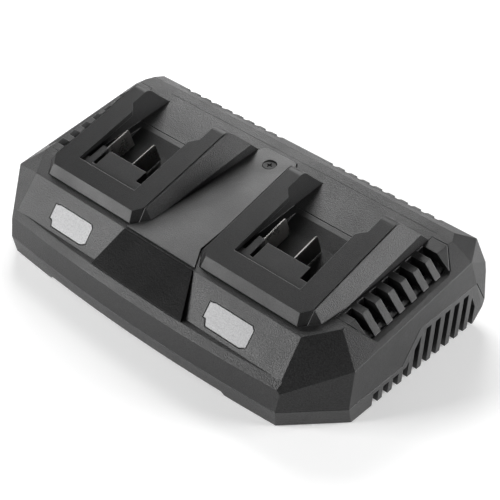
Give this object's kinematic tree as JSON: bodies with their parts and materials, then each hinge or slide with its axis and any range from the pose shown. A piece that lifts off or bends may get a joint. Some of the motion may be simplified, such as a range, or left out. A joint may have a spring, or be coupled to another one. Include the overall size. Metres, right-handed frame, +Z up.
{
  "type": "power tool battery charger",
  "caption": "Slide-pack battery charger: low charcoal casing with raised rail docks, contact blades, frosted status windows and vent louvres.",
  "frame": {"origin": "middle of the outline on the plane that the feet stand on", "axes": "+X along the long side to the user's right, +Y from the bowed nose to the back, +Z up"},
  "size_m": [0.2406, 0.1381, 0.0676],
  "materials": {
    "casing_plastic": "charcoal, fine spark-eroded texture",
    "base_plastic": "charcoal, fine spark-eroded texture",
    "dock_plastic": "charcoal, fine texture, satin on the rails",
    "terminal_plastic": "dark grey, fine texture",
    "contact_metal": "nickel-plated, bright edges",
    "plate_plastic": "smooth satin charcoal, bare",
    "frosted_window": "frosted white, translucent look",
    "led_lens": "clear lens",
    "circuit_board": "green solder mask",
    "ferrite": "dark sintered ferrite",
    "winding_tape": "yellow insulating tape",
    "copper_winding": "enamelled copper",
    "capacitor_sleeve": "dark shrink sleeve",
    "aluminium_sink": "extruded, plain",
    "component_black": "moulded package",
    "fuse_body": "ceramic tube",
    "fan_plastic": "plain black",
    "foot_rubber": "matt rubber",
    "gland_rubber": "matt rubber",
    "screw_steel": "zinc-plated, dull",
    "louvre_plastic": "charcoal, fine texture",
    "centre_plastic": "charcoal, fine texture"
  },
  "bodies": {
    "casing": {"back_louvre_left": "louvre_plastic", "back_louvre_right": "louvre_plastic", "base_tray": "base_plastic", "board_screws": "screw_steel", "bulk_capacitor": "capacitor_sleeve", "case_screws": "screw_steel", "centre_cover": "centre_plastic", "contact_blade_left_a": "contact_metal", "contact_blade_left_b": "contact_metal", "contact_blade_right_a": "contact_metal", "contact_blade_right_b": "contact_metal", "cord_gland": "gland_rubber", "cover_screw": "screw_steel", "dock_left": "dock_plastic", "dock_right": "dock_plastic", "end_louvre_left": "louvre_plastic", "end_louvre_right": "louvre_plastic", "fan_frame": "fan_plastic", "foot_back_left": "foot_rubber", "foot_back_right": "foot_rubber", "foot_front_left": "foot_rubber", "foot_front_right": "foot_rubber", "fuse": "fuse_body", "heat_sink": "aluminium_sink", "led_board_left": "circuit_board", "led_board_right": "circuit_board", "main_board": "circuit_board", "name_plate": "plate_plastic", "output_choke": "copper_winding", "power_transistors": "component_black", "status_leds_left": "led_lens", "status_leds_right": "led_lens", "status_window_left": "frosted_window", "status_window_right": "frosted_window", "terminal_block_left": "terminal_plastic", "terminal_block_right": "terminal_plastic", "transformer_core": "ferrite", "transformer_winding": "winding_tape", "upper_cover": "casing_plastic"},
    "rotor": {"fan_rotor": "fan_plastic"}
  },
  "joints": [
    {"name": "fan_spin", "type": "hinge", "parent": "casing", "child": "rotor", "pos_m": [0.101, 0.00455, 0.0207], "axis": [1, 0, 0], "continuous": true}
  ]
}
